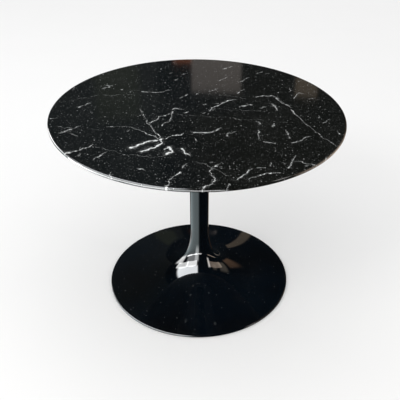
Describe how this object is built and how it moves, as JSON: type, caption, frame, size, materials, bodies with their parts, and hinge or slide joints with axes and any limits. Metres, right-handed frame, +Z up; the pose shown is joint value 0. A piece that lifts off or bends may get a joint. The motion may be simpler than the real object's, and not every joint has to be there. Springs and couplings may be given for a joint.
{
  "type": "round pedestal table",
  "caption": "Round pedestal table with a polished veined black stone top, bevelled under its edge, on a one-piece trumpet-shaped gloss black pedestal with levelling glides.",
  "frame": {"origin": "on the floor, on the pedestal's axis", "axes": "+Z up along the pedestal's axis; +X and +Y are across the round top"},
  "size_m": [0.9999, 1, 0.72],
  "materials": {
    "black_marble": "polished, black ground with fine white calcite veins",
    "black_lacquer": "high-gloss black lacquer on cast aluminium",
    "black_coated_steel": "satin black powder coat",
    "bare_steel": "turned and oiled",
    "zinc_plated_steel": "bright zinc plating",
    "spring_steel": "oil-blackened spring steel",
    "cast_iron": "sand-cast, primed grey",
    "brass": "turned",
    "black_rubber": "matt sheet",
    "black_plastic": "fine-textured",
    "black_nylon": "satin",
    "white_nylon": "natural, satin"
  },
  "bodies": {
    "table": {"marble_top": "black_marble", "top_inserts": "brass", "top_pad": "black_rubber", "mounting_plate": "black_coated_steel", "plate_boss": "bare_steel", "top_washers": "zinc_plated_steel", "top_screws": "zinc_plated_steel", "head_gasket": "white_nylon", "pedestal_shell": "black_lacquer", "floor_ring": "black_plastic", "tie_rod": "zinc_plated_steel", "rod_washer": "zinc_plated_steel", "rod_spring_washer": "spring_steel", "rod_nut": "zinc_plated_steel", "base_plate": "black_coated_steel", "base_plate_screws": "zinc_plated_steel", "ballast_ring": "cast_iron", "ballast_bolts": "zinc_plated_steel", "access_cap": "black_plastic", "glide_bushes": "zinc_plated_steel"},
    "glide_foot_1": {"glide_foot_1": "black_nylon"},
    "glide_stud_1": {"glide_stud_1": "zinc_plated_steel"},
    "glide_foot_2": {"glide_foot_2": "black_nylon"},
    "glide_stud_2": {"glide_stud_2": "zinc_plated_steel"},
    "glide_foot_3": {"glide_foot_3": "black_nylon"},
    "glide_stud_3": {"glide_stud_3": "zinc_plated_steel"},
    "glide_foot_4": {"glide_foot_4": "black_nylon"},
    "glide_stud_4": {"glide_stud_4": "zinc_plated_steel"},
    "glide_foot_5": {"glide_foot_5": "black_nylon"},
    "glide_stud_5": {"glide_stud_5": "zinc_plated_steel"}
  },
  "joints": [
    {"name": "glide_1_height", "type": "slide", "parent": "table", "child": "glide_foot_1", "axis": [0, 0, -1], "range_m": [0, 0.0055]},
    {"name": "glide_1_turn", "type": "hinge", "parent": "glide_foot_1", "child": "glide_stud_1", "pos_m": [-0.14107, 0.19416, 0.008], "axis": [0, 0, -1], "range_deg": [0, 1591.2]},
    {"name": "glide_2_height", "type": "slide", "parent": "table", "child": "glide_foot_2", "axis": [0, 0, -1], "range_m": [0, 0.0055]},
    {"name": "glide_2_turn", "type": "hinge", "parent": "glide_foot_2", "child": "glide_stud_2", "pos_m": [-0.22825, -0.07416, 0.008], "axis": [0, 0, -1], "range_deg": [0, 1591.2]},
    {"name": "glide_3_height", "type": "slide", "parent": "table", "child": "glide_foot_3", "axis": [0, 0, -1], "range_m": [0, 0.0055]},
    {"name": "glide_3_turn", "type": "hinge", "parent": "glide_foot_3", "child": "glide_stud_3", "pos_m": [0, -0.24, 0.008], "axis": [0, 0, -1], "range_deg": [0, 1591.2]},
    {"name": "glide_4_height", "type": "slide", "parent": "table", "child": "glide_foot_4", "axis": [0, 0, -1], "range_m": [0, 0.0055]},
    {"name": "glide_4_turn", "type": "hinge", "parent": "glide_foot_4", "child": "glide_stud_4", "pos_m": [0.22825, -0.07416, 0.008], "axis": [0, 0, -1], "range_deg": [0, 1591.2]},
    {"name": "glide_5_height", "type": "slide", "parent": "table", "child": "glide_foot_5", "axis": [0, 0, -1], "range_m": [0, 0.0055]},
    {"name": "glide_5_turn", "type": "hinge", "parent": "glide_foot_5", "child": "glide_stud_5", "pos_m": [0.14107, 0.19416, 0.008], "axis": [0, 0, -1], "range_deg": [0, 1591.2]}
  ],
  "couplings": [
    {"joint": "glide_1_turn", "follows": "glide_1_height", "rad_per_m": 5026.5},
    {"joint": "glide_2_turn", "follows": "glide_2_height", "rad_per_m": 5026.5},
    {"joint": "glide_3_turn", "follows": "glide_3_height", "rad_per_m": 5026.5},
    {"joint": "glide_4_turn", "follows": "glide_4_height", "rad_per_m": 5026.5},
    {"joint": "glide_5_turn", "follows": "glide_5_height", "rad_per_m": 5026.5}
  ]
}
